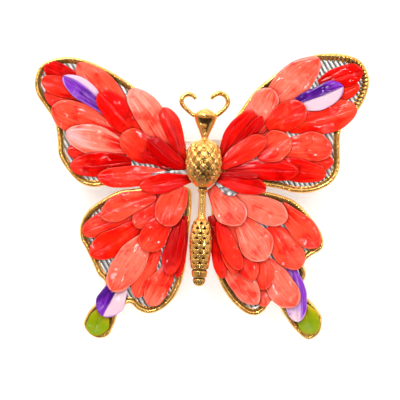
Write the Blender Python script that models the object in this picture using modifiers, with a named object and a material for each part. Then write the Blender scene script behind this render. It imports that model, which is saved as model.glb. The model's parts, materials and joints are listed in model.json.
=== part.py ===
"""A butterfly brooch: lacquered flower petals on a cast gold frame, with a pin and safety catch behind.

Metres, +Z up. The brooch stands upright as it is worn: +X is to the right as it is looked at, its face
looks along -Y, and the pin is on the +Y side. "Height" below means distance in front of Y = 0.
"""
import math

import bmesh
import bpy
import numpy as np
from mathutils import Vector

MM = 0.001

# Overall sizes. The outlines and petal places below are drawn at DRAWN_SPAN by DRAWN_TALL millimetres.
WING_SPAN = 70.2 * MM
WING_TALL = 60.1 * MM
DRAWN_SPAN = 70.2
DRAWN_TALL = 60.1
BAR_UP = 10.7  # the bar's middle, as drawn

# Frame
RIM_WIDTH = 1.25 * MM
RIM_DEPTH = 1.6 * MM
PLATE_THICKNESS = 0.8 * MM
JOIN_GAP = 0.05 * MM
PLATE_GAP = 0.15 * MM
OUTLINE_STEPS = 3

# Petals
PETAL_THICKNESS = 0.3 * MM
PETAL_GAP = 0.11 * MM
PETAL_CUP = 0.085
TIP_LIFT = 0.35 * MM
CELL = 0.25 * MM

# Cast body
BODY_DEPTH_SHARE = 0.88
BODY_LEAN = 0.04
ANTENNA_RADIUS = 0.45 * MM

# Pin and catch
BAR_LENGTH = 35.0 * MM
BAR_TALL = 2.4 * MM
BAR_THICKNESS = 0.8 * MM
PIN_STANDOFF = 2.2 * MM
STEM_RADIUS = 0.4 * MM
EYE_RADIUS = 1.0 * MM
EYE_TALL = 1.0 * MM
EAR_THICKNESS = 0.7 * MM
EAR_RADIUS = 1.15 * MM
JOINT_BASE = 0.5 * MM
RIVET_RADIUS = 0.45 * MM
RIVET_HEAD_RADIUS = 0.8 * MM
RIVET_HEAD_TALL = 0.3 * MM
RUNNING_GAP = 0.1 * MM
END_INSET = 2.0 * MM
HOUSING_RADIUS = 1.9 * MM
HOUSING_WALL = 0.5 * MM
HOUSING_LENGTH = 2.2 * MM
ROTOR_BORE_RADIUS = 0.65 * MM
ROTOR_FLANGE_RADIUS = 1.6 * MM
ROTOR_FLANGE = 0.5 * MM
SLOT_WIDTH = 1.15 * MM
LEVER_REACH = 3.3 * MM
LEVER_WIDTH = 0.9 * MM
STEM_PAST_CATCH = 1.0 * MM
STEM_POINT = 2.6 * MM

# Where things sit in depth, worked out from the sizes above
RIM_HEIGHT = 0.35 * MM
RIM_FRONT = RIM_HEIGHT + RIM_DEPTH / 2
RIM_BACK = RIM_HEIGHT - RIM_DEPTH / 2
PLATE_FRONT = RIM_BACK + PLATE_THICKNESS
BODY_BACK = RIM_FRONT + JOIN_GAP
BODY_AXIS_HEIGHT = BODY_BACK + 1.0 * MM
BAR_Z = BAR_UP * WING_TALL / DRAWN_TALL
BAR_FRONT_Y = -RIM_BACK + JOIN_GAP
BAR_BACK_Y = BAR_FRONT_Y + BAR_THICKNESS
SEAT_Y = BAR_BACK_Y + JOIN_GAP
PIN_Y = BAR_BACK_Y + PIN_STANDOFF
HINGE_X = -(BAR_LENGTH / 2 - END_INSET)
CATCH_X = BAR_LENGTH / 2 - END_INSET - ROTOR_FLANGE
ROTOR_RADIUS = HOUSING_RADIUS - HOUSING_WALL - RUNNING_GAP

# Outlines as drawn, in millimetres: (across, up), a smooth closed curve runs through the points
WINGS = {
    "forewing_left": [
        (-13.3, 2.3), (-19.8, 2.2), (-23, 1.9), (-25.7, 2.8), (-28.3, 5.4), (-30.1, 8.5), (-30.4, 11.8),
        (-31, 15.5), (-32.9, 18.5), (-34.8, 21.4), (-35.2, 24.4), (-34, 27.3), (-31, 28.9), (-26.6, 29.1),
        (-21.5, 27.4), (-16.7, 24.7), (-11.9, 21.2), (-8.9, 18.1), (-5.8, 13.7), (-3.7, 9.9), (-2.3, 7.6),
        (-2.6, 5.5), (-7.9, 3.8),
    ],
    "hindwing_left": [
        (-13.3, 1.7), (-17.3, 1.2), (-20.9, -0.6), (-24, -2.9), (-25.6, -5.9), (-25.6, -8.8),
        (-24.3, -11.4), (-23, -14.1), (-21.9, -16.5), (-20.4, -18.3), (-21.9, -21.6), (-24, -24.4),
        (-24.9, -26.7), (-23.8, -28.8), (-21.7, -29.8), (-19.6, -29.1), (-18.4, -26.7), (-17.4, -24),
        (-15.3, -22.5), (-13.5, -23.9), (-11.1, -24.6), (-8.3, -23.6), (-5.6, -20.9), (-3.8, -16.2),
        (-3.1, -10.3), (-2.5, -5), (-2.2, -0.8), (-2.8, 1.7), (-6.8, 2.5),
    ],
    "forewing_right": [
        (3.5, 7.6), (3.9, 10.5), (5.4, 13.9), (8.1, 18.3), (11, 22.1), (14.4, 25), (18.6, 27.7),
        (23, 29.5), (27.4, 30), (31.2, 29.4), (33.7, 27.9), (35, 24.8), (34.6, 21.6), (32.9, 18.3),
        (29.9, 15.5), (28.9, 12.8), (28.9, 9.2), (28.7, 5.5), (27, 2.7), (23.4, 0.9), (19.6, 0.7),
        (16.3, 1.5), (12.7, 2.2), (7.9, 3.6), (3.7, 5),
    ],
    "hindwing_right": [
        (2.8, 1.9), (7.9, 1.8), (12.5, 1.1), (16.3, 0.3), (19.8, -1.3), (22.8, -4.5), (25.1, -8),
        (25.2, -10.9), (22.6, -12.7), (21.3, -14.1), (21.8, -16.4), (21.1, -18.5), (21.9, -21),
        (23.8, -23.2), (25.1, -25.6), (24.6, -28.6), (22.4, -30.1), (20.5, -29.1), (18.6, -27),
        (16.9, -24.6), (15.6, -22.4), (14.2, -22.2), (13.1, -23.9), (11.2, -25), (8.7, -24.3),
        (5.6, -21.4), (3.3, -17.4), (2.1, -13), (1.7, -8.4), (1.8, -4), (2, -0.4),
    ],
}

# Petals from the bottom of the stack to the top: (wing, colour, base, tip, width), in drawn millimetres
PETALS = [
    ("hindwing_left", "green", (-20.3, -23.5), (-22.8, -28.4), 4.2),
    ("hindwing_left", "cream", (-16.5, -16.6), (-20.7, -25.0), 5.9),
    ("hindwing_left", "coral", (-6.4, -13.9), (-11.4, -22.7), 5.0),
    ("hindwing_left", "red", (-12.7, -5.5), (-23.4, -12.4), 5.8),
    ("hindwing_left", "light_coral", (-11.3, -8.2), (-18.9, -19.7), 6.8),
    ("hindwing_left", "deep_red", (-4.3, -4.6), (-7.2, -16.4), 4.4),
    ("hindwing_left", "red", (-9.8, 0.4), (-21.2, -4.2), 5.4),
    ("hindwing_left", "coral", (-6.8, -4.0), (-12.3, -11.2), 5.9),
    ("hindwing_left", "coral", (-4.0, 1.5), (-8.1, -6.0), 6.3),
    ("hindwing_right", "green", (21.1, -22.7), (23.0, -28.4), 4.4),
    ("hindwing_right", "cream", (18.6, -14.7), (19.9, -26.2), 5.0),
    ("hindwing_right", "coral", (12.5, -13.0), (19.4, -22.9), 6.4),
    ("hindwing_right", "coral", (4.6, -12.4), (11.4, -22.5), 5.4),
    ("hindwing_right", "coral", (14.2, -6.1), (20.3, -15.1), 6.3),
    ("hindwing_right", "red", (16.3, -1.9), (24.3, -10.5), 5.4),
    ("hindwing_right", "light_coral", (7.9, -4.6), (13.3, -13.2), 7.1),
    ("hindwing_right", "coral", (6.4, 0.4), (17.7, -4.8), 5.9),
    ("hindwing_right", "deep_red", (3.6, -5.0), (7.9, -15.3), 3.6),
    ("hindwing_right", "light_coral", (3.2, 0.8), (8.5, -5.7), 5.6),
    ("forewing_left", "red", (-24.0, 23.3), (-32.9, 27.1), 4.4),
    ("forewing_left", "coral", (-14.2, 16.0), (-26.1, 27.6), 6.1),
    ("forewing_left", "coral", (-15.5, 12.2), (-31.4, 18.4), 7.3),
    ("forewing_left", "purple", (-19.4, 17.2), (-29.0, 25.0), 4.3),
    ("forewing_left", "red", (-12.7, 11.8), (-21.5, 21.6), 6.0),
    ("forewing_left", "cream", (-14.8, 9.7), (-28.5, 13.2), 6.2),
    ("forewing_left", "red", (-14.8, 7.2), (-27.6, 6.3), 5.2),
    ("forewing_left", "red", (-7.7, 5.2), (-21.9, 4.1), 4.6),
    ("forewing_left", "light_coral", (-6.2, 8.2), (-14.9, 22.3), 6.0),
    ("forewing_left", "coral", (-8.9, 7.8), (-16.9, 12.8), 6.0),
    ("forewing_left", "deep_red", (-4.9, 6.2), (-11.2, 11.8), 3.8),
    ("forewing_left", "red", (-4.3, 3.7), (-13.1, 2.1), 3.3),
    ("forewing_right", "coral", (11.0, 16.0), (24.4, 28.4), 6.8),
    ("forewing_right", "red", (24.3, 23.4), (33.4, 26.1), 4.8),
    ("forewing_right", "coral", (17.8, 14.4), (32.2, 18.3), 6.9),
    ("forewing_right", "purple", (19.0, 18.9), (29.4, 22.8), 5.3),
    ("forewing_right", "coral", (8.9, 11.8), (14.6, 22.3), 6.7),
    ("forewing_right", "red", (13.6, 13.9), (21.3, 18.9), 6.3),
    ("forewing_right", "red", (16.0, 10.1), (27.2, 9.9), 6.4),
    ("forewing_right", "red", (6.4, 5.0), (20.0, 5.0), 4.8),
    ("forewing_right", "coral", (11.4, 8.2), (18.2, 12.2), 6.3),
    ("forewing_right", "deep_red", (5.0, 8.6), (10.8, 17.6), 5.0),
    ("forewing_right", "red", (5.2, 6.6), (13.3, 12.0), 4.2),
    ("forewing_right", "red", (4.7, 4.0), (13.3, 1.4), 3.6),
]

# Antennae as drawn, from the head to the curled tip: (across, up)
ANTENNAE = {
    "antenna_left": [(-2.0, 16.95), (-3.5, 18.3), (-4.3, 19.4), (-3.9, 20.6), (-2.7, 21.2), (-1.4, 20.2)],
    "antenna_right": [(3.3, 16.95), (4.7, 18.3), (5.3, 19.5), (4.7, 20.7), (3.3, 21.4), (1.8, 20.2)],
}

# The turned body, from the head down to the tail, in drawn millimetres: (radius, up)
BODY_PROFILE = [
    (0.0, 18.3), (2.05, 17.3), (2.45, 16.7), (2.05, 15.3), (1.15, 13.3), (0.72, 12.3), (1.05, 11.7),
    (1.95, 11.1), (2.85, 10.2), (3.4, 8.8), (3.55, 7.4), (3.4, 5.4), (2.6, 3.4), (1.7, 2.2), (1.05, 1.7),
    (1.2, 1.2), (0.78, 0.7), (0.75, -4.2), (1.2, -4.8), (2.0, -6.5), (2.35, -8.8), (2.3, -11.2),
    (2.05, -13.6), (1.7, -15.6), (1.3, -17.6), (0.7, -18.6), (0.0, -18.9),
]

# Colour, roughness and metallic value of each material
MATERIALS = {
    "gold": ((0.83, 0.55, 0.16), 0.22, 1.0),
    "silver": ((0.62, 0.63, 0.65), 0.3, 1.0),
    "steel": ((0.55, 0.55, 0.57), 0.28, 1.0),
    "red": ((0.83, 0.02, 0.01), 0.18, 0.0),
    "deep_red": ((0.55, 0.0, 0.0), 0.18, 0.0),
    "coral": ((0.95, 0.1, 0.05), 0.18, 0.0),
    "light_coral": ((0.98, 0.22, 0.14), 0.18, 0.0),
    "purple": ((0.13, 0.01, 0.32), 0.18, 0.0),
    "cream": ((0.93, 0.74, 0.72), 0.18, 0.0),
    "green": ((0.12, 0.33, 0.01), 0.18, 0.0),
}


def clear_scene():
    for obj in list(bpy.data.objects):
        bpy.data.objects.remove(obj)


def make_collection(name):
    collection = bpy.data.collections.new(name)
    bpy.context.scene.collection.children.link(collection)
    return collection


def make_material(name, colour, roughness, metallic):
    material = bpy.data.materials.new(name)
    material.use_nodes = True
    shader = material.node_tree.nodes["Principled BSDF"]
    shader.inputs["Base Color"].default_value = (*colour, 1)
    shader.inputs["Roughness"].default_value = roughness
    shader.inputs["Metallic"].default_value = metallic
    material.diffuse_color = (*colour, 1)
    return material


clear_scene()
PARTS = make_collection("butterfly_brooch")
CUTTERS = make_collection("cutters")
CUTTERS.hide_render = True
PAINTS = {name: make_material(name, *values) for name, values in MATERIALS.items()}


def add_object(name, data, paint, location=(0, 0, 0), rotation=(0, 0, 0)):
    obj = bpy.data.objects.new(name, data)
    obj.location = location
    obj.rotation_euler = rotation
    data.materials.append(PAINTS[paint])
    PARTS.objects.link(obj)
    return obj


def add_bmesh(name, bm, paint, **place):
    mesh = bpy.data.meshes.new(name)
    bm.to_mesh(mesh)
    bm.free()
    return add_object(name, mesh, paint, **place)


def box_bmesh(low, high):
    bm = bmesh.new()
    bmesh.ops.create_cube(bm, size=1)
    low, high = Vector(low), Vector(high)
    for vertex in bm.verts:
        share = vertex.co + Vector((0.5, 0.5, 0.5))
        vertex.co = low + Vector(a * b for a, b in zip(share, high - low))
    return bm


def cylinder_bmesh(radius, length, axis, sides):
    """A cylinder centred on the origin, along X, Y or Z."""
    bm = bmesh.new()
    bmesh.ops.create_cone(
        bm, cap_ends=True, segments=sides, radius1=radius, radius2=radius, depth=length
    )
    for vertex in bm.verts:
        x, y, z = vertex.co
        vertex.co = {"X": (z, y, -x), "Y": (x, z, -y), "Z": (x, y, z)}[axis]
    return bm


def boolean(obj, operation, name, bm, location=(0, 0, 0)):
    """Cuts or adds a helper solid, which stays in the cutters collection."""
    helper = add_bmesh(name, bm, "steel", location=location)
    PARTS.objects.unlink(helper)
    CUTTERS.objects.link(helper)
    helper.hide_render = True
    helper.display_type = "WIRE"
    modifier = obj.modifiers.new(name, "BOOLEAN")
    modifier.operation = operation
    modifier.object = helper
    modifier.solver = "EXACT"


def round_edges(obj, width, segments=2):
    modifier = obj.modifiers.new("rounded edges", "BEVEL")
    modifier.width = width
    modifier.segments = segments
    modifier.limit_method = "ANGLE"


def smooth(obj, angle=35):
    obj.data.shade_smooth()
    obj.data.set_sharp_from_angle(angle=math.radians(angle))


def drawn(point):
    """A drawn point in metres at the brooch's own span and height."""
    return Vector((point[0] * WING_SPAN / DRAWN_SPAN, point[1] * WING_TALL / DRAWN_TALL))


def smooth_curve(points, steps, closed):
    """A Catmull-Rom curve through the points."""
    count = len(points)
    result = []
    for i in range(count if closed else count - 1):
        if closed:
            before, start, end, after = (points[(i + k) % count] for k in (-1, 0, 1, 2))
        else:
            before, start = points[max(i - 1, 0)], points[i]
            end, after = points[i + 1], points[min(i + 2, count - 1)]
        for step in range(steps):
            t = step / steps
            result.append(
                start
                + (end - before) * (t / 2)
                + (before * 2 - start * 5 + end * 4 - after) * (t * t / 2)
                + (start * 3 - before - end * 3 + after) * (t**3 / 2)
            )
    if not closed:
        result.append(points[-1])
    return result


def area_of(points):
    pairs = zip(points, points[1:] + points[:1])
    return sum(a.x * b.y - b.x * a.y for a, b in pairs) / 2


def distance_to(outline, point):
    shortest = math.inf
    for a, b in zip(outline, outline[1:] + outline[:1]):
        share = (point - a).dot(b - a) / (b - a).length_squared
        shortest = min(shortest, (point - a - (b - a) * min(max(share, 0), 1)).length)
    return shortest


def inset(points, distance):
    """The closed outline moved inwards along its normals, without the loops that form in tight bends."""
    side = 1 if area_of(points) > 0 else -1
    moved = []
    for i, point in enumerate(points):
        along = (points[(i + 1) % len(points)] - points[i - 1]).normalized()
        inner = point + Vector((-along.y, along.x)) * (side * distance)
        if distance_to(points, inner) > 0.99 * distance:
            moved.append(inner)
    return moved


def flat_curve(name, points, paint, height, half_depth):
    """A closed outline in the X-Z plane, centred at a height in front of Y = 0."""
    curve = bpy.data.curves.new(name, "CURVE")
    curve.dimensions = "2D"
    spline = curve.splines.new("POLY")
    spline.points.add(len(points) - 1)
    for target, point in zip(spline.points, points):
        target.co = (point.x, point.y, 0, 1)
    spline.use_cyclic_u = True
    curve.fill_mode = "BOTH"
    curve.extrude = half_depth
    return add_object(name, curve, paint, (0, -height, 0), (math.pi / 2, 0, 0))


def make_plate(wing, outline):
    edge = inset(inset(outline, RIM_WIDTH / 2), RIM_WIDTH / 2 + PLATE_GAP)
    middle = (PLATE_FRONT + RIM_BACK) / 2
    return flat_curve(wing + "_plate", edge, "silver", middle, PLATE_THICKNESS / 2)


def make_rim(wing, outline):
    """A bead of RIM_WIDTH by RIM_DEPTH that runs round the wing's edge."""
    rim = flat_curve(wing + "_rim", inset(outline, RIM_WIDTH / 2), "gold", RIM_HEIGHT, 0)
    rim.data.dimensions = "3D"
    rim.data.fill_mode = "FULL"
    rim.data.bevel_depth = RIM_WIDTH / 2
    rim.data.bevel_resolution = 2
    rim.scale = (1, 1, RIM_DEPTH / RIM_WIDTH)
    return rim


class Relief:
    """How far the brooch reaches in front of Y = 0 so far, on a square grid over its face."""

    def __init__(self):
        reach = 0.6 * max(WING_SPAN, WING_TALL)
        self.corner = -reach
        self.count = math.ceil(2 * reach / CELL)
        self.height = np.full((self.count, self.count), -1.0)

    def cells(self, across, up):
        return [((value - self.corner) / CELL).astype(int) for value in (across, up)]

    def raise_to(self, across, up, height):
        np.maximum.at(self.height, tuple(self.cells(across, up)), height)

    def lay(self, outline, height):
        """Sets every cell inside an outline, one column at a time."""
        centres = self.corner + (np.arange(self.count) + 0.5) * CELL
        inside = np.zeros_like(self.height, bool)
        for a, b in zip(outline, outline[1:] + outline[:1]):
            crossed = (centres > min(a.x, b.x)) & (centres <= max(a.x, b.x))
            if not crossed.any():
                continue
            level = a.y + (b.y - a.y) * (centres[crossed] - a.x) / (b.x - a.x)
            inside[crossed] ^= centres[None, :] > level[:, None]
        self.height[inside] = height

    def spread(self):
        """Each cell's highest neighbour, itself included."""
        rows = np.maximum(self.height, np.maximum(np.roll(self.height, 1, 0), np.roll(self.height, -1, 0)))
        return np.maximum(rows, np.maximum(np.roll(rows, 1, 1), np.roll(rows, -1, 1)))


ALONG, ACROSS = 7, 5
SAMPLES_ALONG, SAMPLES_ACROSS = 72, 36


def grid_weights():
    """Each fine sample of a petal as a weighted mean of the corners of the grid square that it is in."""
    weights = np.zeros((SAMPLES_ALONG, SAMPLES_ACROSS, ALONG, ACROSS))
    for i, u in enumerate(np.linspace(0, ALONG - 1.001, SAMPLES_ALONG)):
        for j, v in enumerate(np.linspace(0, ACROSS - 1.001, SAMPLES_ACROSS)):
            a, b = int(u), int(v)
            for da, share_u in ((0, 1 - u + a), (1, u - a)):
                for db, share_v in ((0, 1 - v + b), (1, v - b)):
                    weights[i, j, a + da, b + db] = share_u * share_v
    return weights.reshape(SAMPLES_ALONG * SAMPLES_ACROSS, ALONG * ACROSS)


WEIGHTS = grid_weights()
U, V = np.meshgrid(np.linspace(0, 1, ALONG), np.linspace(-1, 1, ACROSS), indexing="ij")


def petal_plan(base, tip, width):
    """Where the petal's grid points are, seen from the front: narrow at the base, rounded at the tip."""
    base, tip = drawn(base), drawn(tip)
    run = tip - base
    widen = 0.45 + 0.55 * np.sin(np.pi / 2 * np.minimum(U / 0.6, 1))
    close = np.sqrt(np.cos(np.pi / 2 * np.maximum(U - 0.6, 0) / 0.55))
    half = drawn((width / 2, 0)).x * widen * close
    length = U * (1 - 0.13 * V * V * U)
    side = Vector((-run.y, run.x)).normalized()
    across = base.x + run.x * length + side.x * half * V
    up = base.y + run.y * length + side.y * half * V
    return across, up, half.max() * 2


def rest_on(relief, across, up):
    """The lowest fair surface whose back stays PETAL_GAP clear of what is under it."""
    ground = relief.spread()[tuple(relief.cells(WEIGHTS @ across.ravel(), WEIGHTS @ up.ravel()))]
    needed = ground + PETAL_GAP + PETAL_THICKNESS * 1.15
    height = np.full(ALONG * ACROSS, PLATE_FRONT + PETAL_GAP + PETAL_THICKNESS)
    for _ in range(10):
        padded = np.pad(height.reshape(ALONG, ACROSS), 1, "edge")
        mean = (padded[2:, 1:-1] + padded[:-2, 1:-1] + padded[1:-1, 2:] + padded[1:-1, :-2]) / 4
        height = (mean.ravel() + height) / 2
        for _ in range(40):
            short = np.maximum(needed - WEIGHTS @ height, 0)
            height = height + (WEIGHTS * short[:, None]).max(axis=0)
    return height.reshape(ALONG, ACROSS)


def make_petal(name, colour, base, tip, width, relief):
    """A thin cupped shell that rests on whatever is already under it."""
    across, up, full_width = petal_plan(base, tip, width)
    height = rest_on(relief, across, up)
    height = height + PETAL_CUP * full_width * (1 - V * V) * np.sin(np.pi * (0.12 + 0.76 * U))
    height = height + TIP_LIFT * np.maximum((U - 0.6) / 0.4, 0) ** 2
    relief.raise_to(*(WEIGHTS @ values.ravel() for values in (across, up, height)))
    bm = bmesh.new()
    bmesh.ops.create_grid(bm, x_segments=ALONG - 1, y_segments=ACROSS - 1, size=1)
    for vertex in bm.verts:
        i = round((vertex.co.x + 1) / 2 * (ALONG - 1))
        j = round((vertex.co.y + 1) / 2 * (ACROSS - 1))
        vertex.co = (across[i, j], -height[i, j], up[i, j])
    bm.normal_update()
    if sum(face.normal.y for face in bm.faces) > 0:
        bmesh.ops.reverse_faces(bm, faces=bm.faces)
    mesh = bpy.data.meshes.new(name)
    bm.to_mesh(mesh)
    bm.free()
    petal = add_object(name, mesh, colour)
    shell = petal.modifiers.new("shell", "SOLIDIFY")
    shell.thickness = PETAL_THICKNESS
    shell.offset = -1
    mesh.shade_smooth()
    return petal


def make_petals(outlines):
    relief = Relief()
    for outline in outlines.values():
        relief.lay(outline, RIM_FRONT)
    for outline in outlines.values():
        relief.lay(inset(outline, RIM_WIDTH), PLATE_FRONT)
    counts = {}
    for wing, colour, base, tip, width in PETALS:
        counts[wing] = counts.get(wing, 0) + 1
        make_petal(f"petal_{wing}_{counts[wing]:02d}", colour, base, tip, width, relief)


def make_body(outlines):
    """Head, thorax, waist and abdomen cast in one, flat behind, with a keel that the wings meet."""
    mesh = bpy.data.meshes.new("body")
    bm = bmesh.new()
    points = [bm.verts.new((radius * MM, 0, drawn((0, up)).y)) for radius, up in BODY_PROFILE]
    for a, b in zip(points, points[1:]):
        bm.edges.new((a, b))
    bm.to_mesh(mesh)
    bm.free()
    body = add_object("body", mesh, "gold", (0, -BODY_AXIS_HEIGHT, 0), (0, BODY_LEAN, 0))
    body.scale = (1, BODY_DEPTH_SHARE, 1)
    turn = body.modifiers.new("turned", "SCREW")
    turn.steps = turn.render_steps = 20
    turn.use_merge_vertices = True
    turn.merge_threshold = 0.00001
    turn.use_smooth_shade = True
    behind = box_bmesh((-0.02, -BODY_BACK, -0.04), (0.02, 0.02, 0.04))
    boolean(body, "DIFFERENCE", "flat_back_cut", behind)
    left = max(p.x for wing in outlines if wing.endswith("left") for p in outlines[wing])
    right = min(p.x for wing in outlines if wing.endswith("right") for p in outlines[wing])
    low, high = drawn((0, 1.6)).y, drawn((0, 10.2)).y
    keel = box_bmesh(
        (left + JOIN_GAP, -BODY_BACK - 0.6 * MM, low), (right - JOIN_GAP, -RIM_BACK, high)
    )
    boolean(body, "UNION", "keel", keel)
    return body


def make_antenna(name, points):
    curve = bpy.data.curves.new(name, "CURVE")
    curve.dimensions = "3D"
    curve.bevel_depth = ANTENNA_RADIUS
    curve.bevel_resolution = 2
    curve.use_fill_caps = True
    route = smooth_curve([drawn(point) for point in points], 4, closed=False)
    spline = curve.splines.new("POLY")
    spline.points.add(len(route) - 1)
    for target, point in zip(spline.points, route):
        target.co = (point.x, -BODY_AXIS_HEIGHT, point.y, 1)
    return add_object(name, curve, "gold")


def make_bar():
    half = BAR_LENGTH / 2
    low = (-half, BAR_FRONT_Y, BAR_Z - BAR_TALL / 2)
    high = (half, BAR_BACK_Y, BAR_Z + BAR_TALL / 2)
    bar = add_bmesh("pin_bar", box_bmesh(low, high), "steel")
    round_edges(bar, 0.15 * MM)
    return bar


def make_pin_joint():
    """A fork of two ears on the bar, with a slot between them for the pin's eye."""
    slot = EYE_TALL + 2 * RUNNING_GAP
    half_tall = slot / 2 + EAR_THICKNESS
    low = (HINGE_X - EAR_RADIUS, SEAT_Y, BAR_Z - half_tall)
    high = (HINGE_X + EAR_RADIUS, PIN_Y, BAR_Z + half_tall)
    fork = add_bmesh("pin_joint", box_bmesh(low, high), "steel")
    ears = cylinder_bmesh(EAR_RADIUS, 2 * half_tall, "Z", 20)
    boolean(fork, "UNION", "ear_ends", ears, (HINGE_X, PIN_Y, BAR_Z))
    reach = 2 * EAR_RADIUS
    gap = box_bmesh((-reach, SEAT_Y + JOINT_BASE, -slot / 2), (reach, PIN_Y + reach, slot / 2))
    boolean(fork, "DIFFERENCE", "eye_slot", gap, (HINGE_X, 0, BAR_Z))
    hole = cylinder_bmesh(RIVET_RADIUS + JOIN_GAP, 3 * half_tall, "Z", 16)
    boolean(fork, "DIFFERENCE", "rivet_hole", hole, (HINGE_X, PIN_Y, BAR_Z))
    return fork


def make_rivet():
    half = EYE_TALL / 2 + RUNNING_GAP + EAR_THICKNESS + JOIN_GAP
    place = (HINGE_X, PIN_Y, BAR_Z)
    shank = cylinder_bmesh(RIVET_RADIUS, 2 * half + RIVET_HEAD_TALL, "Z", 16)
    rivet = add_bmesh("joint_rivet", shank, "steel", location=place)
    for side, name in ((1, "rivet_head_top"), (-1, "rivet_head_bottom")):
        head = cylinder_bmesh(RIVET_HEAD_RADIUS, RIVET_HEAD_TALL, "Z", 16)
        middle = half + RIVET_HEAD_TALL / 2
        boolean(rivet, "UNION", name, head, (HINGE_X, PIN_Y, BAR_Z + side * middle))
    return rivet


def make_stem():
    """The pin: an eye round the rivet, and a straight wire that ends in a point past the catch."""
    length = CATCH_X - HINGE_X + HOUSING_LENGTH / 2 + ROTOR_FLANGE + STEM_PAST_CATCH
    place = (HINGE_X, PIN_Y, BAR_Z)
    stem = add_bmesh("pin_stem", cylinder_bmesh(EYE_RADIUS, EYE_TALL, "Z", 24), "steel", location=place)
    start = RIVET_RADIUS + RUNNING_GAP + 0.15 * MM
    wire = cylinder_bmesh(STEM_RADIUS, length - start - STEM_POINT, "X", 12)
    far_cap = max(wire.faces, key=lambda face: face.calc_center_median().x)
    drawn_out = bmesh.ops.extrude_face_region(wire, geom=[far_cap])["geom"]
    wire.faces.remove(far_cap)
    for vertex in [item for item in drawn_out if isinstance(item, bmesh.types.BMVert)]:
        vertex.co = (vertex.co.x + STEM_POINT, vertex.co.y / 8, vertex.co.z / 8)
    middle = HINGE_X + (start + length - STEM_POINT) / 2
    boolean(stem, "UNION", "wire", wire, (middle, PIN_Y, BAR_Z))
    bore = cylinder_bmesh(RIVET_RADIUS + RUNNING_GAP, 2 * EYE_TALL, "Z", 16)
    boolean(stem, "DIFFERENCE", "eye_hole", bore, place)
    return stem


def make_housing():
    """The fixed outer shell of the safety catch: a tube open towards +Y, on a foot."""
    place = Vector((CATCH_X, PIN_Y, BAR_Z))
    shell = cylinder_bmesh(HOUSING_RADIUS, HOUSING_LENGTH, "X", 28)
    housing = add_bmesh("catch_housing", shell, "steel", location=place)
    half = HOUSING_LENGTH / 2
    foot_top = -(HOUSING_RADIUS - HOUSING_WALL / 2)
    foot = box_bmesh((-half, SEAT_Y - PIN_Y, -BAR_TALL / 2), (half, foot_top, BAR_TALL / 2))
    boolean(housing, "UNION", "foot", foot, place)
    bore = cylinder_bmesh(HOUSING_RADIUS - HOUSING_WALL, 2 * HOUSING_LENGTH, "X", 28)
    boolean(housing, "DIFFERENCE", "bore", bore, place)
    mouth = box_bmesh(
        (-HOUSING_LENGTH, 0, -SLOT_WIDTH / 2), (HOUSING_LENGTH, 2 * HOUSING_RADIUS, SLOT_WIDTH / 2)
    )
    boolean(housing, "DIFFERENCE", "mouth", mouth, place)
    return housing


def make_rotor():
    """The turning lock inside the catch: a slotted barrel with a flange at each end and a lever."""
    place = Vector((CATCH_X, PIN_Y, BAR_Z))
    half = HOUSING_LENGTH / 2 + RUNNING_GAP
    barrel = cylinder_bmesh(ROTOR_RADIUS, 2 * half + ROTOR_FLANGE, "X", 28)
    rotor = add_bmesh("catch_rotor", barrel, "steel", location=place)
    for side, name in ((-1, "inner_flange"), (1, "outer_flange")):
        flange = cylinder_bmesh(ROTOR_FLANGE_RADIUS, ROTOR_FLANGE, "X", 28)
        offset = Vector((side * (half + ROTOR_FLANGE / 2), 0, 0))
        boolean(rotor, "UNION", name, flange, place + offset)
    lever = box_bmesh(
        (-half - ROTOR_FLANGE, -LEVER_WIDTH / 2, ROTOR_RADIUS), (-half, LEVER_WIDTH / 2, LEVER_REACH)
    )
    boolean(rotor, "UNION", "lever", lever, place)
    bore = cylinder_bmesh(ROTOR_BORE_RADIUS, 4 * HOUSING_LENGTH, "X", 20)
    boolean(rotor, "DIFFERENCE", "rotor_bore", bore, place)
    mouth = box_bmesh(
        (-2 * HOUSING_LENGTH, 0, -SLOT_WIDTH / 2), (2 * HOUSING_LENGTH, 2 * HOUSING_RADIUS, SLOT_WIDTH / 2)
    )
    boolean(rotor, "DIFFERENCE", "rotor_mouth", mouth, place)
    return rotor


def main():
    outlines = {
        wing: smooth_curve([drawn(point) for point in points], OUTLINE_STEPS, closed=True)
        for wing, points in WINGS.items()
    }
    for wing, outline in outlines.items():
        make_plate(wing, outline)
        make_rim(wing, outline)
    make_petals(outlines)
    make_body(outlines)
    for name, points in ANTENNAE.items():
        make_antenna(name, points)
    make_bar()
    make_pin_joint()
    make_rivet()
    make_stem()
    make_housing()
    make_rotor()


main()
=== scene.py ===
"""Looks of the butterfly brooch: lacquered petals, gold rims, ribbed plates, scaled gold body, nickel pin.

Metres, in the frame's own axes: +X right, +Z up, the brooch faces -Y. "Height" is distance in front of
Y = 0. Outlines and petal places are drawn in millimetres, as in the model's own source.
"""
import json
import math

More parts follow.
